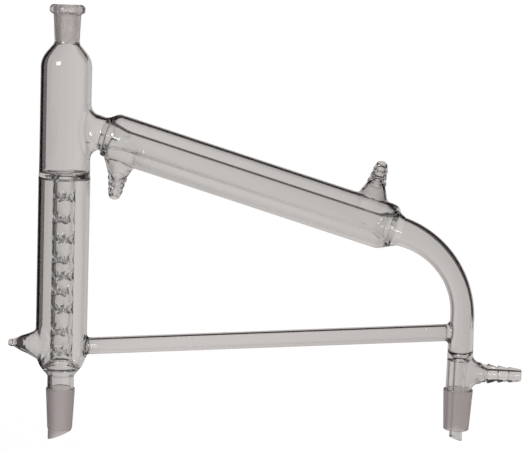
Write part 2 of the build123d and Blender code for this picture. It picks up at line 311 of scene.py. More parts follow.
def bridged(name: str, rings: list[list[Vector]]) -> bpy.types.Object:
    """Closed mesh through closed rings of points, the last ring joined to the first.

    Args:
        name: name of the object.
        rings: as many points in each ring, in millimetres.

    Returns:
        The mesh, its faces pointing outwards.
    """
    count = len(rings[0])
    verts = [p * MM for ring in rings for p in ring]
    faces: list[tuple[int, ...]] = []
    for k in range(len(rings)):
        a, b = k * count, ((k + 1) % len(rings)) * count
        for i in range(count):
            j = (i + 1) % count
            faces.append((a + i, a + j, b + j, b + i))
    mesh = bpy.data.meshes.new(name)
    mesh.from_pydata(verts, [], faces)
    piece = bpy.data.objects.new(name, mesh)
    bpy.context.scene.collection.objects.link(piece)
    make_active(piece)
    bpy.ops.object.mode_set(mode="EDIT")
    bpy.ops.mesh.select_all(action="SELECT")
    bpy.ops.mesh.normals_make_consistent(inside=False)
    bpy.ops.object.mode_set(mode="OBJECT")
    return piece


def collar(name: str, axis: Tube, tube: Tube, rounding: float, taper: float = 0.0, near: Lip | None = None,
           segments: int = 72, steps: int = 8) -> bpy.types.Object:
    """Rounded joint between a tube and the straight body that it leaves, rolled as by a ball along both.

    A turned or extruded shape can't follow both tubes, so its rings are worked out and bridged. On each ray
    round the tube, the ball slides along the tube's side until it also touches the body.

    Args:
        name: name of the object.
        axis: point, direction and radius of the body, in millimetres.
        tube: point, direction away from the body and radius of the tube, in millimetres.
        rounding: radius of the joint, in millimetres.
        taper: how far the tube's radius falls for each step away from the body.
        near: a side of the tube, and how much smaller the rounding and the body's radius are there.
        segments: points round the tube.
        steps: steps across the rounding.

    Returns:
        The closed collar, whose lips dip a little under both surfaces.
    """
    base, line, body_r = axis
    root, way, tube_r = tube
    line = line.normalized()
    way = way.normalized()
    across = way.orthogonal().normalized()
    other = way.cross(across)
    lean = math.atan(taper)
    lip, sunk = 0.07, 0.7
    largest, full_r = rounding, body_r
    side, less_rounding, less_r = near or (across, 0.0, 0.0)
    rings: list[list[Vector]] = []
    for k in range(segments):
        a = 2 * math.pi * k / segments
        out = across * math.cos(a) + other * math.sin(a)
        share = max(0.0, out.dot(side))
        rounding = largest - less_rounding * share
        body_r = full_r - less_r * share
        reach = tube_r + rounding / math.cos(lean)
        start = root + out * reach - base
        flat = start - line * start.dot(line)
        pull = way - out * taper
        slide = pull - line * pull.dot(line)
        square, twice = slide.dot(slide), 2 * slide.dot(flat)
        rest = flat.dot(flat) - (body_r + rounding) ** 2
        slid = (-twice + math.sqrt(max(0.0, twice * twice - 4 * square * rest))) / (2 * square)
        centre = root + out * reach + pull * slid
        radial = centre - base
        radial = (radial - line * radial.dot(line)).normalized()
        normal = out * math.cos(lean) + way * math.sin(lean)
        spread = radial.angle(normal)
        ring: list[Vector] = []
        for i in range(steps + 1):
            t = -lip + (1 + 2 * lip) * i / steps
            mixed = radial * math.sin((1 - t) * spread) + normal * math.sin(t * spread)
            ring.append(centre - mixed * (rounding / math.sin(spread)))
        heel = (radial + normal) / (1 + radial.dot(normal))
        ring.append(centre - heel * (rounding + sunk))
        rings.append(ring)
    return bridged(name, rings)


def combine(body: bpy.types.Object, other: bpy.types.Object, mix: Mix) -> bpy.types.Object:
    """Join another closed mesh to the body, or cut it away, and remove it.

    Args:
        body: mesh that is changed.
        other: mesh that is used up.
        mix: whether it is joined or cut.

    Returns:
        The body.
    """
    make_active(body)
    bpy.ops.object.modifier_add(type="BOOLEAN")
    modifier = body.modifiers[-1]
    modifier.operation = mix.value
    modifier.solver = "MANIFOLD"
    modifier.object = other
    bpy.ops.object.modifier_apply(modifier=modifier.name)
    bpy.data.objects.remove(other)
    return body


def cut_slanted(piece: bpy.types.Object, height: float, slope: float, x: float) -> None:
    """Cut a tube's lower end off on a slanted plane and close it.

    Args:
        piece: closed mesh.
        height: height of the cut on the tube's axis, in millimetres.
        slope: rise of the cut for each step along X.
        x: place of the tube's axis, in millimetres.
    """
    make_active(piece)
    bpy.ops.object.mode_set(mode="EDIT")
    bpy.ops.mesh.select_all(action="SELECT")
    bpy.ops.mesh.bisect(
        plane_co=(x * MM, 0, height * MM),
        plane_no=Vector((-slope, 0, 1)).normalized(),
        use_fill=True,
        clear_inner=True,
    )
    bpy.ops.object.mode_set(mode="OBJECT")


@dataclass
class Hose:
    """Serrated hose connection and the way through it, along its own Z."""

    reach: float
    pitch: float
    tip_length: float
    crests: tuple[float, ...] = (9.8, 8.5, 7.7)
    valleys: tuple[float, ...] = (8.4, 7.0, 6.5)
    crest_rise: float = 0.6
    tip: float = 5.8
    bore: float = 3.6

    def outside(self, root: list[Corner]) -> list[Corner]:
        """Outline from its root corners out to its tip.

        Args:
            root: corners of the root, in (radius, height, rounding).

        Returns:
            The whole outline.
        """
        corners = list(root)
        crest = self.reach - self.tip_length - (len(self.crests) - 1) * self.pitch
        for crest_d, valley_d in zip(self.crests, self.valleys):
            corners.append((valley_d / 2, crest - self.crest_rise, 0.25))
            corners.append((crest_d / 2, crest, 0.3))
            crest += self.pitch
        corners.append((self.tip / 2, self.reach, 0.6))
        corners.append((0, self.reach))
        return corners

    def way(self, root: list[Corner]) -> list[Corner]:
        """Outline of the way through it, from its wide root out past its tip."""
        r = self.bore / 2
        return [*root, (r, self.reach + 1), (0, self.reach + 1)]


@dataclass(frozen=True)
class Cone:
    """Ground cone of a 14/20 joint, and the small step above its large end."""

    top_r: float = 7.25
    end_r: float = 6.25
    length: float = 20.0
    step: float = 0.55


@dataclass
class IndentedTube:
    """Tube with rows of indentations that point inwards and down, pressed out of its own wall."""

    r: float = 5.6
    bore_r: float = 4.35
    outer_run: Point = (16.2, 105.2)
    bore_run: Point = (15.6, 106.4)
    heights: tuple[float, ...] = (20.4, 30.6, 42.0, 50.8, 58.8, 66.9, 77.2, 87.1, 98.1)
    per_level: int = 4
    fall: float = 26.0
    turned: float = 28.0
    outside: tuple[Corner, ...] = ((3.9, 0), (2.9, 0, 1.5), (1.3, 1.5, 1.6), (0.35, 4.1, 0.3), (0, 4.1))
    inside: tuple[Corner, ...] = ((3.05, 0), (2.65, 0, 0.7), (1.8, 1.1, 1.0), (0.85, 3.4, 0.75), (0, 3.4))
    segments: int = 88
    row: float = 0.42

    def straight(self, r: float, run: Point) -> list[Corner]:
        """Points up the tube's wall, close enough together to be pressed.

        Args:
            r: radius of the surface, in millimetres.
            run: lowest and highest place of the run.

        Returns:
            The points, from the lowest up.
        """
        low, high = run
        count = math.ceil((high - low) / self.row)
        return [(r, low + (high - low) * i / count) for i in range(count + 1)]

    @staticmethod
    def at_share(points: list[Point], lengths: list[float], share: float) -> Point:
        """Point of an outline at a share of its length.

        Args:
            points: points of the outline.
            lengths: length along the outline at each point.
            share: part of the whole length, from 0 to 1.

        Returns:
            The point.
        """
        along = share * lengths[-1]
        k = next(i for i, length in enumerate(lengths[1:]) if length >= along - TINY)
        part = (along - lengths[k]) / (lengths[k + 1] - lengths[k])
        (r0, d0), (r1, d1) = points[k], points[k + 1]
        return r0 + (r1 - r0) * part, d0 + (d1 - d0) * part

    def press(self, piece: bpy.types.Object, r: float, outline: tuple[Corner, ...]) -> None:
        """Push the indentations into a surface of the tube, as a pick does into hot glass.

        The wall near each indentation is drawn along with it, so that it flows in without an edge.

        Args:
            piece: the turned surface.
            r: radius of that surface, in millimetres.
            outline: outline of an indentation in (radius, depth, rounding), from its mouth to its tip.
        """
        points = rounded(list(outline), turn=12.0, run=0.3)[::-1]
        lengths = [0.0]
        for (r0, d0), (r1, d1) in zip(points, points[1:]):
            lengths.append(lengths[-1] + math.hypot(r1 - r0, d1 - d0))
        mouth = outline[0][0]
        slope = math.radians(self.fall)
        drop = (self.r - r) * math.tan(slope)
        pitch = 2 * math.pi / self.per_level
        for vertex in piece.data.vertices:
            x, y, z = (v / MM for v in vertex.co)
            if abs(math.hypot(x, y) - r) > SAME_POINT:
                continue
            for level, height in enumerate(self.heights):
                up = z - height + drop
                if abs(up) >= mouth:
                    continue
                first = math.radians(self.turned) + pitch * 0.5 * (level % 2 == 0)
                turn = first + pitch * round((math.atan2(y, x) - first) / pitch)
                side = r * math.sin(math.atan2(y, x) - turn)
                away = math.hypot(side, up)
                if away >= mouth:
                    continue
                drawn, depth = self.at_share(points, lengths, away / mouth)
                scale = drawn / max(away, TINY)
                side, up = side * scale, up * scale
                inwards = math.sqrt(r * r - side * side) - depth * math.cos(slope)
                out = Vector((math.cos(turn), math.sin(turn), 0))
                across = Vector((-math.sin(turn), math.cos(turn), 0))
                centre = height - drop + up - depth * math.sin(slope)
                vertex.co = (out * inwards + across * side + Vector((0, 0, centre))) * MM


@dataclass
class Column:
    """Upright part: pot cone, jacket, head chamber and socket, with the indented tube in the jacket."""

    cone: Cone = field(default_factory=Cone)
    tube: IndentedTube = field(default_factory=IndentedTube)
    tip_r: float = 5.9
    tip_bore_r: float = 4.8
    tip_z: float = -23.6
    tip_slope: float = 0.42
    blank_z: float = -31.0
    neck_r: float = 6.65
    neck_bore_r: float = 5.35
    neck_z: float = 6.8
    knee: Point = (10.7, 11.9)
    flare: Point = (7.9, 10.8)
    jacket_r: float = 12.7
    jacket_bore_r: float = 11.3
    jacket_z: float = 17.2
    seal_z: float = 106.3
    head_r: float = 12.45
    head_bore_r: float = 11.05
    head_z: float = 109.3
    shoulder_z: float = 164.7
    socket_rs: Point = (6.0, 6.7)
    socket_bore_rs: Point = (4.1, 5.0)
    socket_z: float = 172.4
    bead_r: float = 8.65
    bead_z: float = 187.0
    top_z: float = 191.0

    def __post_init__(self) -> None:
        """Set the column's axis and its place."""
        self.line = (Vector((0, 0, 0)), Vector((0, 0, 1)))
        self.place = placed(*self.line)

    def outside(self) -> bpy.types.Object:
        """Outside of the column, from the drip tip up to the socket's bead.

        Returns:
            The closed outside.
        """
        cone, jacket, head = self.cone, self.jacket_r, self.head_r
        corners = [
            (0, self.blank_z), (self.tip_r, self.blank_z), (self.tip_r, -cone.length - 0.5, 0.2),
            (cone.end_r, -cone.length), (cone.top_r, 0), (self.neck_r, cone.step),
            (self.neck_r, self.neck_z, 1.5), (*self.knee, 10), (jacket, self.jacket_z, 11),
            (jacket, self.seal_z, 2), (head, self.head_z, 2), (head, self.shoulder_z, 11),
            (self.socket_rs[0], self.socket_z, 3),
            (self.socket_rs[1], self.bead_z - 0.6, 0.8), (self.bead_r, self.bead_z, 1.9),
            (self.bead_r, self.top_z, 2.1), (0, self.top_z),
        ]
        piece = lathe("glass_body_outside", corners, self.place, 80, turn=9.0)
        cut_slanted(piece, self.tip_z, self.tip_slope, 0.0)
        return piece

    def bore(self) -> bpy.types.Object:
        """Vapour path up the column, with the indentations standing in it.

        Returns:
            The bore, as a closed mesh.
        """
        tube, neck, head = self.tube, self.neck_bore_r, self.head_bore_r
        below, above = self.blank_z - 1, self.top_z + 0.3
        corners = [
            (0, below), (self.tip_bore_r, below), (self.tip_bore_r, -self.cone.length, 2),
            (neck, self.cone.step, 2), (neck, self.neck_z + 1, 1.2), (*self.flare, 1),
            (tube.bore_r, 13.4, 2), *tube.straight(tube.bore_r, tube.bore_run),
            (tube.bore_r, self.seal_z + 1.5, 0.8),
            (head, self.head_z - 0.1, 1.2), (head, self.shoulder_z - 0.6, 9.4),
            (self.socket_bore_rs[0], self.socket_z + 0.2, 2), (self.socket_bore_rs[1], self.top_z - 0.8),
            (6.1, above), (0, above),
        ]
        piece = lathe("column_bore", corners, self.place, tube.segments, turn=9.0)
        tube.press(piece, tube.bore_r, tube.inside)
        return piece

    def vacuum_space(self) -> bpy.types.Object:
        """Sealed space round the indented tube, out into its indentations.

        Returns:
            The space, as a closed mesh.
        """
        tube, jacket = self.tube, self.jacket_bore_r
        corners = [
            (tube.r, self.seal_z + 0.1, 1), (jacket, self.seal_z + 0.6, 1.2),
            (jacket, self.jacket_z + 0.26, 9.4), (9.1, 11.6, 0.5), (tube.r, 14.6, 2),
            *tube.straight(tube.r, tube.outer_run),
        ]
        piece = lathe("vacuum_space", corners, self.place, tube.segments, ring=True)
        tube.press(piece, tube.r, tube.outside)
        return piece


@dataclass
class Nipple:
    """Sealed-off nipple at the foot of the jacket, through which its space was evacuated."""

    column: Column
    z: float = 22.2
    root_r: float = 13.3
    root_bore_r: float = 11.9
    taper: float = 0.4878
    bore_taper: float = 0.4652
    rounding: float = 3.0
    bore_rounding: float = 4.4
    tip: float = 26.8
    bore_tip: float = 22.8

    def __post_init__(self) -> None:
        """Set the nipple's place, and how its joint shrinks where the foot of the jacket curves away."""
        self.way = Vector((-1, 0, 0))
        self.root = Vector((0, 0, self.z))
        self.place = placed(self.root, self.way)
        self.lip = (Vector((0, 0, -1)), 1.5, 1.3)

    def outsides(self) -> list[bpy.types.Object]:
        """The nipple and its rounded root.

        Returns:
            Both, as closed meshes.
        """
        corners = [
            (0, 6), (10.37, 6), (5.0, 17.0, 4), (4.0, 20.1, 2), (1.7, 24.2, 1.2), (2.0, 25.24, 0.9),
            (1.3, self.tip, 0.8), (0, self.tip),
        ]
        axis, tube = (*self.column.line, self.column.jacket_r), (self.root, self.way, self.root_r)
        return [
            lathe("nipple_outside", corners, self.place, 64),
            collar("nipple_joint", axis, tube, self.rounding, self.taper, self.lip),
        ]

    def spaces(self) -> list[bpy.types.Object]:
        """The space in the nipple and its rounded root.

        Returns:
            Both, as closed meshes.
        """
        corners = [
            (0, 8), (8.18, 8), (3.9, 17.2, 3), (2.9, 19.9, 1.2), (0.8, self.bore_tip, 0.5),
            (0, self.bore_tip),
        ]
        axis = (*self.column.line, self.column.jacket_bore_r)
        tube = (self.root, self.way, self.root_bore_r)
        return [
            lathe("nipple_space", corners, self.place, 48),
            collar("nipple_space_joint", axis, tube, self.bore_rounding, self.bore_taper, self.lip),
        ]


@dataclass
class Condenser:
    """Side arm, jacketed condenser, elbow and leg with its cone, and the coolant connections."""

    path: Path = field(default_factory=Path)
    cone: Cone = field(default_factory=Cone)
    hose: Hose = field(default_factory=lambda: Hose(reach=41.3, pitch=4.5, tip_length=4.6))
    arm_r: float = 8.0
    arm_bore_r: float = 6.6
    arm_s: float = 19.5
    jacket_r: float = 11.65
    jacket_run: Point = (24.9, 164.0)
    wall: float = 1.3
    tube_r: float = 5.2
    tube_bore_r: float = 4.3
    tube_run: Point = (31.0, 160.5)
    flare: Point = (7.2, 168.8)
    elbow_rs: tuple[float, ...] = (7.1, 6.5, 6.0, 5.65, 5.6, 5.85)
    elbow_wall: float = 1.25
    leg_r: float = 6.2
    leg_bore_r: float = 5.0
    leg_z: float = 32.8
    seal_z: float = 30.2
    drip_bore_r: float = 2.2
    cone_z: float = 10.8
    root_r: float = 12.1
    root_taper: float = 0.2924
    rounding: float = 8.0
    upper_s: float = 30.3
    upper_turn: float = 39.0
    lower_s: float = 154.8
    lower_turn: float = 53.0

    def __post_init__(self) -> None:
        """Work out the directions and places that several pieces share."""
        up, low = math.radians(self.upper_turn), math.radians(self.lower_turn)
        self.upper_way = self.path.up * -math.cos(up) + Vector((0, math.sin(up), 0))
        self.lower_way = self.path.up * math.cos(low) + Vector((0, math.sin(low), 0))
        self.upper_place = placed(self.path.on_axis(self.upper_s), self.upper_way)
        self.lower_place = placed(self.path.on_axis(self.lower_s), self.lower_way)
        self.upper_lip = (-self.path.along, 6.6, 1.8)
        self.cone_end = self.cone_z - self.cone.length
        self.leg_line = (Vector((self.path.leg_x, 0, 0)), Vector((0, 0, 1)))
        self.leg_place = placed(*self.leg_line)

    def bend_corners(self, inset: float) -> list[Corner]:
        """Outline of the bend, its radius reduced by an inset.

        Args:
            inset: how far the outline lies inside the glass, in millimetres.

        Returns:
            The corners, from the condenser on.
        """
        steps = len(self.elbow_rs) - 1
        length = self.path.leg_s - self.path.bend_s
        return [(r - inset, self.path.bend_s + length * i / steps) for i, r in enumerate(self.elbow_rs)]

    def outside(self) -> bpy.types.Object:
        """Outside of the side arm, condenser, elbow, leg and receiver cone.

        Returns:
            The closed outside.
        """
        leg, cone, jacket = self.path.at_height, self.cone, self.jacket_r
        (start, end), (first, *_, last) = self.jacket_run, self.elbow_rs
        bend_s, below_bend = self.path.bend_s - 0.8, self.path.centre_z - 3
        corners = [
            (self.arm_r, 0), (self.arm_r, self.arm_s, 2.5), (jacket, start, 4.5), (jacket, end, 8),
            (first, bend_s, 1.5), *self.bend_corners(0.0), (last, leg(below_bend), 6),
            (self.leg_r, leg(self.leg_z), 6), (self.leg_r, leg(self.cone_z + cone.step)),
            (cone.top_r, leg(self.cone_z)), (cone.end_r, leg(self.cone_end + 0.3)),
            (5.95, leg(self.cone_end)),
        ]
        return self.path.tube("path_outside", corners, 72)

    def bore(self) -> bpy.types.Object:
        """Vapour path through the side arm, inner tube, elbow and leg, and on through the drip tube.

        Returns:
            The bore, as a closed mesh.
        """
        leg, tube, (start, end) = self.path.at_height, self.tube_bore_r, self.tube_run
        first, last = self.elbow_rs[0] - self.elbow_wall, self.elbow_rs[-1] - self.elbow_wall
        bend_s, below_bend = self.path.bend_s - 0.8, self.path.centre_z - 3
        corners = [
            (self.arm_bore_r, 1), (self.arm_bore_r, self.arm_s, 3), (tube, start, 6), (tube, end, 6),
            (*self.flare, 1.2), (first, bend_s, 1), *self.bend_corners(self.elbow_wall),
            (last, leg(below_bend), 5), (self.leg_bore_r, leg(self.leg_z), 5),
            (self.leg_bore_r, leg(self.seal_z), 1.5), (self.drip_bore_r, leg(self.seal_z - 3.6), 1.2),
            (self.drip_bore_r, leg(-21.0)),
        ]
        return self.path.tube("path_bore", corners, 64)

    def coolant_space(self) -> bpy.types.Object:
        """Space round the condenser's inner tube, out through both connections.

        Returns:
            The space, as a closed mesh.
        """
        tube, jacket = self.tube_r, self.jacket_r - self.wall
        (tube_start, tube_end), (start, end) = self.tube_run, self.jacket_run
        corners = [
            (tube, tube_start + 0.8, 6), (7.4, 21.6, 0.5), (jacket, start + 0.4, 3.1),
            (jacket, end - 0.7, 6.7), (8.4, 167.2, 0.5), (tube, tube_end - 0.3, 5),
        ]
        place = placed(self.path.on_axis(0), self.path.along)
        space = lathe("coolant_space", corners, place, 64, ring=True)
        root = 5.4
        root_r = self.root_r - self.wall - root * self.root_taper
        way = self.hose.way([(0, root), (root_r, root), (3.2, 26.0, 2.6), (self.hose.bore / 2, 27.4, 0.4)])
        for place in (self.upper_place, self.lower_place):
            space = combine(space, lathe("coolant_way", way, place, 48), Mix.JOIN)
        for joint in self.coolant_joints(self.wall):
            space = combine(space, joint, Mix.JOIN)
        return space

    def coolant_outsides(self) -> list[bpy.types.Object]:
        """Both coolant connections and their rounded roots.

        Returns:
            The connections, then their roots.
        """
        start = 3
        corners = self.hose.outside([(0, start), (self.root_r - start * self.root_taper, start)])
        return [
            lathe("lower_outside", corners, self.lower_place, 48),
            lathe("upper_outside", corners, self.upper_place, 48),
            *self.coolant_joints(0.0),
        ]

    def coolant_joints(self, inset: float) -> list[bpy.types.Object]:
        """Rounded roots of both coolant connections, their surface set in by a wall.

        Args:
            inset: how far the surface lies inside the glass, in millimetres.

        Returns:
            The upper root and the lower root.
        """
        axis = (self.path.on_axis(0), self.path.along, self.jacket_r - inset)
        root_r = self.root_r - inset / math.cos(math.atan(self.root_taper))
        rounding = self.rounding + inset
        upper = (self.path.on_axis(self.upper_s), self.upper_way, root_r)
        lower = (self.path.on_axis(self.lower_s), self.lower_way, root_r)
        return [
            collar("upper_joint", axis, upper, rounding, self.root_taper, self.upper_lip),
            collar("lower_joint", axis, lower, rounding, self.root_taper),
        ]


@dataclass
class Receiver:
    """What stands in and on the leg: the drip tube, the space round it and the vent connection."""

    condenser: Condenser
    hose: Hose = field(default_factory=lambda: Hose(reach=30.2, pitch=5.1, tip_length=6.0))
    vent_z: float = 19.5
    vent_r: float = 5.2
    vent_bore_r: float = 3.9
    rounding: float = 4.2
    bore_rounding: float = 5.4
    seal_z: float = 25.6
    drip_r: float = 3.2
    drip_z: float = -13.9
    drip_slope: float = -0.3

    def __post_init__(self) -> None:
        """Set the vent's place."""
        self.way = Vector((1, 0, 0))
        self.root = Vector((self.condenser.path.leg_x, 0, self.vent_z))
        self.place = placed(self.root, self.way)

    def outsides(self) -> list[bpy.types.Object]:
        """The vent connection and its rounded root.

        Returns:
            Both, as closed meshes.
        """
        corners = self.hose.outside([(0, 0), (self.vent_r, 0), (self.vent_r, 8, 8)])
        axis = (*self.condenser.leg_line, self.condenser.leg_r)
        return [
            lathe("vent_outside", corners, self.place, 48),
            collar("vent_joint", axis, (self.root, self.way, self.vent_r), self.rounding),
        ]

    def space(self) -> bpy.types.Object:
        """Space in the leg round the drip tube, open at the cone and through the vent.

        Returns:
            The space, as a closed mesh.
        """
        start, end, leg = self.condenser.cone_z, self.condenser.cone_end, self.condenser.leg_bore_r
        corners = [
            (0, self.seal_z), (3.6, self.seal_z, 0.8), (leg, self.seal_z + 1.8, 0.8), (leg, start + 1, 2),
            (4.7, end, 2), (4.7, end - 1), (0, end - 1),
        ]
        space = lathe("vent_space", corners, self.condenser.leg_place, 64)
        bore = self.vent_bore_r
        way = self.hose.way([(0, 2), (bore, 2), (bore, 8.5, 6), (self.hose.bore / 2, 13.5, 5)])
        space = combine(space, lathe("vent_way", way, self.place, 40), Mix.JOIN)
        axis, root = (*self.condenser.leg_line, leg), (self.root, self.way, bore)
        return combine(space, collar("vent_way_joint", axis, root, self.bore_rounding), Mix.JOIN)

    def drip_tube(self) -> bpy.types.Object:
        """Outside of the drip tube inside the leg, cut slanted below the cone.

        Returns:
            The closed outside.
        """
        corners = [(0, 27), (self.drip_r, 27), (self.drip_r, -20), (0, -20)]
        piece = lathe("drip_outside", corners, self.condenser.leg_place, 48)
        cut_slanted(piece, self.drip_z, self.drip_slope, self.condenser.path.leg_x)
        return piece


@dataclass
class Brace:
    """Hollow brace between the vacuum jacket and the leg, sealed at both ends."""

    column: Column
    condenser: Condenser
    r: float = 4.2
    bore_r: float = 3.1
    z: float = 21.3
    rise: float = 5.28
    rounding: float = 1.6

    def __post_init__(self) -> None:
        """Set the brace's place."""
        slope = math.radians(self.rise)
        self.way = Vector((math.cos(slope), 0, math.sin(slope)))
        self.root = Vector((0, 0, self.z))
        self.place = placed(self.root, self.way)

    def outsides(self) -> list[bpy.types.Object]:
        """The brace and the rounded joints at its ends.

        Returns:
            All three, as closed meshes.
        """
        length = self.condenser.path.leg_x / self.way.x
        corners = [(0, 1), (self.r, 1), (self.r, length - 1), (0, length - 1)]
        column = (*self.column.line, self.column.jacket_r)
        leg = (*self.condenser.leg_line, self.condenser.leg_r)
        start, end = (self.root, self.way, self.r), (self.root + self.way * length, -self.way, self.r)
        return [
            lathe("brace_outside", corners, self.place, 48),
            collar("brace_joint", column, start, self.rounding),
            collar("brace_end_joint", leg, end, self.rounding),
        ]

    def space(self) -> bpy.types.Object:
        """Sealed space in the brace.

        Returns:
            The space, as a closed mesh.
        """
        cos = math.cos(math.radians(self.rise))
        start = self.column.jacket_r / cos + 0.6
        end = (self.condenser.path.leg_x - self.condenser.leg_r) / cos - 0.6
        corners = [(0, start), (self.bore_r, start, 1), (self.bore_r, end, 1), (0, end)]
        return lathe("brace_space", corners, self.place, 48)


class Finish(Enum):
    """Slot of each material on the fused body; the socket's slot holds a smoother copy of the ground glass
    whose extra lightness is painted light.
    """

    CLEAR = 0
    CONE = 1
    SOCKET = 2


@dataclass(frozen=True)
class Zone:
    """Ring round an upright axis, by its radii and its heights."""

    inner: float
    outer: float
    low: float
    high: float

    def holds(self, reach: float, z: float) -> bool:
        """Whether a place at a distance from the axis lies in the ring."""
        return self.inner < reach < self.outer and self.low < z < self.high


@dataclass
class GlassColumn:
    """The fused glass: column, nipple, condenser, receiver and brace as one hollow body."""

    column: Column = field(default_factory=Column)
    condenser: Condenser = field(default_factory=Condenser)
    arm_rounding: float = 5.0
    smooth_angle: float = 32.0
    pot_zone: Zone = Zone(5.7, 7.4, -27.0, 0.0)
    socket_zone: Zone = Zone(-1.0, 5.3, 172.8, 190.3)

    def __post_init__(self) -> None:
        """Set up what stands on the column and the condenser."""
        self.nipple = Nipple(self.column)
        self.receiver = Receiver(self.condenser)
        self.brace = Brace(self.column, self.condenser)
        self.receiver_zone = Zone(5.9, 7.4, self.condenser.cone_end, self.condenser.cone_z)

    def arm_joint(self) -> bpy.types.Object:
        """Rounded root of the side arm on the head."""
        arm = (self.condenser.path.on_axis(0), self.condenser.path.along, self.condenser.arm_r)
        return collar("arm_joint", (*self.column.line, self.column.head_r), arm, self.arm_rounding)

    def arm_space(self) -> bpy.types.Object:
        """Rounded way from the head into the side arm.

        Returns:
            The way, as a closed mesh.
        """
        wall = self.column.head_r - self.column.head_bore_r
        arm = (self.condenser.path.on_axis(0), self.condenser.path.along, self.condenser.arm_bore_r)
        axis = (*self.column.line, self.column.head_bore_r)
        return collar("arm_space", axis, arm, self.arm_rounding + wall)

    def outsides(self) -> list[bpy.types.Object]:
        """Outsides of everything that is fused to the column, with the rounded joints between them.

        Returns:
            The closed outsides, in the order in which they are fused.
        """
        return [
            self.condenser.outside(), self.arm_joint(), *self.brace.outsides(), *self.receiver.outsides(),
            *self.condenser.coolant_outsides(), *self.nipple.outsides(),
        ]

    def vacuum_space(self) -> bpy.types.Object:
        """Space between the indented tube and its jacket, out into the nipple.

        Returns:
            The space, as a closed mesh.
        """
        space = self.column.vacuum_space()
        for piece in self.nipple.spaces():
            space = combine(space, piece, Mix.JOIN)
        return space

    def dress(self, body: bpy.types.Object, finishes: list[bpy.types.Material]) -> None:
        """Give the fused body its clear and its ground faces.

        Args:
            body: the hollow glass.
            finishes: materials of the plain faces, the cones and the socket.
        """
        body.data.materials.clear()
        for finish in finishes:
            body.data.materials.append(finish)
        for face in body.data.polygons:
            x, y, z = (v / MM for v in face.center)
            reach, leg_reach = math.hypot(x, y), math.hypot(x - self.condenser.path.leg_x, y)
            finish = Finish.CLEAR
            if self.socket_zone.holds(reach, z):
                finish = Finish.SOCKET
            elif self.pot_zone.holds(reach, z) or self.receiver_zone.holds(leg_reach, z):
                finish = Finish.CONE
            face.material_index = finish.value

    def build(self) -> bpy.types.Object:
        """Fuse the outsides, then cut the hollow spaces away.

        Returns:
            The hollow glass body.
        """
        body = self.column.outside()
        for piece in self.outsides():
            name = piece.name
            combine(body, piece, Mix.JOIN)
            log.info("joined %s, %d faces", name, len(body.data.polygons))
        combine(body, self.receiver.space(), Mix.CUT)
        combine(body, self.receiver.drip_tube(), Mix.JOIN)
        spaces = (
            self.condenser.bore, self.column.bore, self.arm_space, self.vacuum_space,
            self.condenser.coolant_space, self.brace.space,
        )
        for space in spaces:
            combine(body, space(), Mix.CUT)
            log.info("cut %s, %d faces", space.__qualname__, len(body.data.polygons))
        body.name = body.data.name = "glass_body_clear"
        make_active(body)
        bpy.ops.object.shade_smooth_by_angle(angle=math.radians(self.smooth_angle))
        return body


@dataclass(frozen=True)
class ClearGlass:
    """Clear fire-polished glass."""

    ior: float = 1.474
    tint: tuple[float, float, float, float] = (0.985, 0.99, 0.985, 1.0)

    def material(self) -> bpy.types.Material:
        """Build the material.

        Returns:
            The material.
        """
        material = bpy.data.materials.new("clear_glass")
        material.use_nodes = True
        shader = material.node_tree.nodes["Principled BSDF"]
        shader.inputs["Base Color"].default_value = self.tint
        shader.inputs["Roughness"].default_value = 0.0
        shader.inputs["IOR"].default_value = self.ior
        shader.inputs["Transmission Weight"].default_value = 1.0
        return material


@dataclass(frozen=True)
class GroundGlass:
    """Satin ground glass of the cones and the socket."""

    name: str = "ground_glass"
    tint: tuple[float, float, float, float] = (0.70, 0.65, 0.655, 1.0)
    roughness: float = 0.34
    milk: float = 0.22
    ior: float = 1.474
    grain: float = 2600.0
    grain_detail: float = 3.0
    smoother: float = 0.08
    rougher: float = 0.1
    relief: float = 0.12
    relief_depth: float = 0.1

    def material(self) -> bpy.types.Material:
        """Build the material.

        Returns:
            The material.
        """
        material = bpy.data.materials.new(self.name)
        material.use_nodes = True
        nodes, links = material.node_tree.nodes, material.node_tree.links
        shader = nodes["Principled BSDF"]
        shader.inputs["Base Color"].default_value = self.tint
        shader.inputs["IOR"].default_value = self.ior
        shader.inputs["Transmission Weight"].default_value = 1.0 - self.milk
        place = nodes.new("ShaderNodeTexCoord")
        grain = nodes.new("ShaderNodeTexNoise")
        grain.inputs["Scale"].default_value = self.grain
        grain.inputs["Detail"].default_value = self.grain_detail
        links.new(place.outputs["Object"], grain.inputs["Vector"])
        spread = nodes.new("ShaderNodeMapRange")
        spread.inputs["To Min"].default_value = self.roughness - self.smoother
        spread.inputs["To Max"].default_value = self.roughness + self.rougher
        links.new(grain.outputs[0], spread.inputs["Value"])
        links.new(spread.outputs[0], shader.inputs["Roughness"])
        bump = nodes.new("ShaderNodeBump")
        bump.inputs["Strength"].default_value = self.relief
        bump.inputs["Distance"].default_value = self.relief_depth * MM
        links.new(grain.outputs[0], bump.inputs["Height"])
        links.new(bump.outputs[0], shader.inputs["Normal"])
        return material


@dataclass(frozen=True)
class Flag:
    """Upright black board, by its ends along X and Z in millimetres and its turn in its plane in degrees."""

    left: float
    right: float
    low: float
    high: float
    turn: float = 0.0


@dataclass(frozen=True)
class Lamp:
    """Square soft box, by its direction in degrees, its width in metres and its power in watts."""

    azimuth: float
    elevation: float
    width: float
    power: float


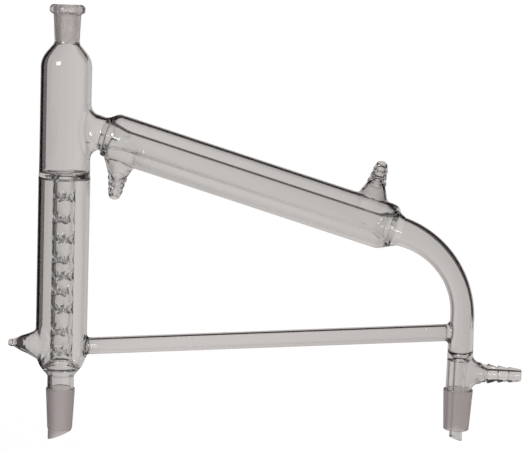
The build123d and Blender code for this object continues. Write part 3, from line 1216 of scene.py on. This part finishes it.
@dataclass
class Studio:
    """White cut-out background, grey paper seen through the glass, floor, flags, lamp and camera."""

    floor_x: float = 100.0
    floor_z: float = -90.0
    floor_width: float = 8000.0
    floor_glow: float = 0.97
    floor_shade: float = 0.1
    paper_tint: tuple[float, float, float] = (1.08, 1.015, 0.99)
    paper_levels: tuple[Point, ...] = (
        (-0.45, 0.37), (-0.31, 0.45), (-0.21, 0.51), (-0.14, 0.565), (-0.07, 0.55), (0.0, 0.51), (0.1, 0.47),
        (0.3, 0.46), (0.5, 0.52),
    )
    paper_start: float = -0.5
    dark_above: Point = (0.2, 0.3)
    dark_behind: Point = (0.2, 0.4)
    dark_left: Point = (-0.62, -0.76)
    black: tuple[float, float, float, float] = (0.012, 0.008, 0.010, 1.0)
    flag_y: float = 80.0
    flags: dict[str, Flag] = field(
        default_factory=lambda: {
            "flag_left": Flag(-260.0, -42.0, -70.0, 300.0),
            "flag_right": Flag(244.0, 430.0, 24.0, 300.0),
            "flag_elbow": Flag(188.0, 308.0, 64.0, 184.0, turn=45.0),
        }
    )
    lamps: dict[str, Lamp] = field(
        default_factory=lambda: {
            "lamp_window": Lamp(azimuth=-31.0, elevation=22.0, width=0.4, power=10.0),
        }
    )
    lamp_distance: float = 1500.0
    focal: float = 102.08
    sensor_width: float = 36.0
    nearest: float = 10.0
    azimuth: float = 4.0
    elevation: float = 8.1
    roll: float = 2.2
    target: tuple[float, float, float] = (99.65, 0.0, 87.785)
    distance: float = 735.0

    def build_world(self) -> None:
        """White for the camera, and through the glass grey, with dark high up and far left behind it."""
        world = bpy.data.worlds.new("studio")
        bpy.context.scene.world = world
        world.use_nodes = True
        nodes, links = world.node_tree.nodes, world.node_tree.links
        nodes.clear()
        out = nodes.new("ShaderNodeOutputWorld")
        white = nodes.new("ShaderNodeBackground")
        white.inputs["Color"].default_value = (1, 1, 1, 1)
        room = nodes.new("ShaderNodeBackground")
        place = nodes.new("ShaderNodeTexCoord")
        split = nodes.new("ShaderNodeSeparateXYZ")
        links.new(place.outputs["Generated"], split.inputs[0])
        above = self.ramp(nodes, links, split.outputs["Z"], *self.dark_above)
        behind = self.ramp(nodes, links, split.outputs["Y"], *self.dark_behind)
        left = self.ramp(nodes, links, split.outputs["X"], *self.dark_left)
        outer = self.reckon(nodes, links, "MAXIMUM", above, left)
        dark = self.reckon(nodes, links, "MULTIPLY", outer, behind)
        tone = nodes.new("ShaderNodeMix")
        tone.data_type = "RGBA"
        paper = nodes.new("ShaderNodeValToRGB")
        start = self.paper_start
        links.new(self.ramp(nodes, links, split.outputs["X"], start, start + 1, "LINEAR"), paper.inputs[0])
        stops = paper.color_ramp.elements
        for i, (x, level) in enumerate(self.paper_levels):
            stop = stops[i] if i < 2 else stops.new(x - start)
            stop.position = x - start
            stop.color = (*(level * c for c in self.paper_tint), 1.0)
        links.new(paper.outputs[0], tone.inputs["A"])
        tone.inputs["B"].default_value = self.black
        links.new(dark, tone.inputs["Factor"])
        links.new(tone.outputs["Result"], room.inputs["Color"])
        background = self.split_by_camera(nodes, links, white.outputs[0], room.outputs[0])
        links.new(background, out.inputs["Surface"])

    @staticmethod
    def blank_material(name: str) -> tuple[bpy.types.Material, bpy.types.Nodes, bpy.types.NodeLinks]:
        """New material with no nodes yet, and its nodes and links.

        Args:
            name: name of the material.

        Returns:
            The material, its nodes and its links.
        """
        material = bpy.data.materials.new(name)
        material.use_nodes = True
        material.node_tree.nodes.clear()
        return material, material.node_tree.nodes, material.node_tree.links

    @staticmethod
    def split_by_camera(nodes: bpy.types.Nodes, links: bpy.types.NodeLinks,
                        seen: bpy.types.NodeSocket, unseen: bpy.types.NodeSocket) -> bpy.types.NodeSocket:
        """Shader that the camera sees in one way and every other ray in another way.

        Args:
            nodes: nodes of the material or world.
            links: its links.
            seen: shader for the camera's rays.
            unseen: shader for all other rays.

        Returns:
            The mixed shader.
        """
        light_path = nodes.new("ShaderNodeLightPath")
        mix = nodes.new("ShaderNodeMixShader")
        links.new(light_path.outputs["Is Camera Ray"], mix.inputs[0])
        links.new(unseen, mix.inputs[1])
        links.new(seen, mix.inputs[2])
        return mix.outputs[0]

    @staticmethod
    def reckon(nodes: bpy.types.Nodes, links: bpy.types.NodeLinks, operation: str,
               first: bpy.types.NodeSocket, second: bpy.types.NodeSocket) -> bpy.types.NodeSocket:
        """Result of one operation on two values.

        Args:
            nodes: nodes of the material or world.
            links: its links.
            operation: name of the operation.
            first: first value.
            second: second value.

        Returns:
            The result.
        """
        node = nodes.new("ShaderNodeMath")
        node.operation = operation
        links.new(first, node.inputs[0])
        links.new(second, node.inputs[1])
        return node.outputs[0]

    @staticmethod
    def ramp(nodes: bpy.types.Nodes, links: bpy.types.NodeLinks, value: bpy.types.NodeSocket,
             start: float, end: float, kind: str = "SMOOTHSTEP") -> bpy.types.NodeSocket:
        """Step of a value from 0 to 1 between a start and an end.

        Args:
            nodes: nodes of the material or world.
            links: its links.
            value: the value.
            start: value at which the step is 0.
            end: value at which the step is 1.
            kind: how the step rises.

        Returns:
            The step.
        """
        node = nodes.new("ShaderNodeMapRange")
        node.interpolation_type = kind
        node.inputs["From Min"].default_value = start
        node.inputs["From Max"].default_value = end
        links.new(value, node.inputs["Value"])
        return node.outputs[0]

    def build_floor(self) -> None:
        """Wide pale floor that is white to the camera and keeps a faint shadow."""
        deselect_all()
        place = (self.floor_x * MM, 0, self.floor_z * MM)
        bpy.ops.mesh.primitive_plane_add(size=self.floor_width * MM, location=place)
        floor = bpy.context.object
        floor.name = "floor"
        material, nodes, links = self.blank_material("floor_paper")
        out = nodes.new("ShaderNodeOutputMaterial")
        lit = nodes.new("ShaderNodeAddShader")
        white = nodes.new("ShaderNodeEmission")
        white.inputs["Color"].default_value = (1, 1, 1, 1)
        white.inputs["Strength"].default_value = self.floor_glow
        diffuse = nodes.new("ShaderNodeBsdfDiffuse")
        shade = self.floor_shade
        diffuse.inputs["Color"].default_value = (shade, shade, shade, 1)
        links.new(white.outputs[0], lit.inputs[0])
        links.new(diffuse.outputs[0], lit.inputs[1])
        clear = nodes.new("ShaderNodeBsdfTransparent")
        surface = self.split_by_camera(nodes, links, lit.outputs[0], clear.outputs[0])
        links.new(surface, out.inputs["Surface"])
        floor.data.materials.append(material)

    def build_flags(self) -> None:
        """Black flags behind the glass, unseen by the camera, that draw its edges."""
        material, nodes, links = self.blank_material("flag")
        out = nodes.new("ShaderNodeOutputMaterial")
        black = nodes.new("ShaderNodeEmission")
        black.inputs["Color"].default_value = self.black
        clear = nodes.new("ShaderNodeBsdfTransparent")
        surface = self.split_by_camera(nodes, links, clear.outputs[0], black.outputs[0])
        links.new(surface, out.inputs["Surface"])
        for name, board in self.flags.items():
            x, z = (board.left + board.right) / 2, (board.low + board.high) / 2
            deselect_all()
            bpy.ops.mesh.primitive_plane_add(
                size=1.0,
                location=(x * MM, self.flag_y * MM, z * MM),
                rotation=(math.pi / 2, math.radians(board.turn), 0),
            )
            flag = bpy.context.object
            flag.name = name
            flag.scale = ((board.right - board.left) * MM, (board.high - board.low) * MM, 1)
            bpy.ops.object.transform_apply(location=True, rotation=True, scale=True)
            flag.data.materials.append(material)

    @staticmethod
    def direction(azimuth: float, elevation: float) -> Vector:
        """Way from the target out, the azimuth counted from the front, both in degrees."""
        a, e = math.radians(azimuth), math.radians(elevation)
        return Vector((math.sin(a) * math.cos(e), -math.cos(a) * math.cos(e), math.sin(e)))

    def build_lamps(self) -> None:
        """Each small soft box in front, whose reflections sparkle on the shoulders and seals."""
        for name, box in self.lamps.items():
            way = self.direction(box.azimuth, box.elevation)
            deselect_all()
            place = (Vector(self.target) + way * self.lamp_distance) * MM
            bpy.ops.object.light_add(type="AREA", location=place)
            lamp = bpy.context.object
            lamp.name = name
            lamp.rotation_euler = way.to_track_quat("Z", "Y").to_euler()
            lamp.data.shape = "SQUARE"
            lamp.data.size = box.width
            lamp.data.energy = box.power

    def build_camera(self) -> None:
        """Camera at the photograph's viewing angle."""
        a, r = math.radians(self.azimuth), math.radians(self.roll)
        back = self.direction(self.azimuth, self.elevation)
        right = Vector((math.cos(a), math.sin(a), 0))
        up = back.cross(right)
        x = right * math.cos(r) + up * math.sin(r)
        y = up * math.cos(r) - right * math.sin(r)
        deselect_all()
        bpy.ops.object.camera_add()
        camera = bpy.context.object
        camera.name = "camera"
        camera.data.lens = self.focal
        camera.data.sensor_width = self.sensor_width
        camera.data.clip_start = self.nearest * MM
        place = (Vector(self.target) + back * self.distance) * MM
        camera.matrix_world = Matrix.Translation(place) @ Matrix((x, y, back)).transposed().to_4x4()
        bpy.context.scene.camera = camera

    def build(self) -> None:
        """Set up the whole studio."""
        self.build_world()
        self.build_floor()
        self.build_flags()
        self.build_lamps()
        self.build_camera()
        bpy.context.scene.view_settings.view_transform = "Standard"


def main() -> None:
    """Build the glass, dress it and set up the studio."""
    logging.basicConfig(level=logging.INFO, format="%(message)s")
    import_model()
    column = GlassColumn()
    glass = column.build()
    # The socket's ground glass is smoother than the cones', and its lighter tint and extra milk are painted
    # light standing in for the brighter light there.
    socket = GroundGlass("ground_socket_painted_lighter", (0.90, 0.85, 0.855, 1.0), roughness=0.28, milk=0.3)
    column.dress(glass, [ClearGlass().material(), GroundGlass().material(), socket.material()])
    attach(glass, "root")
    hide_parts("glass_body")
    log.info("glass: %d faces", len(glass.data.polygons))
    Studio().build()


if __name__ == "__main__":
    main()
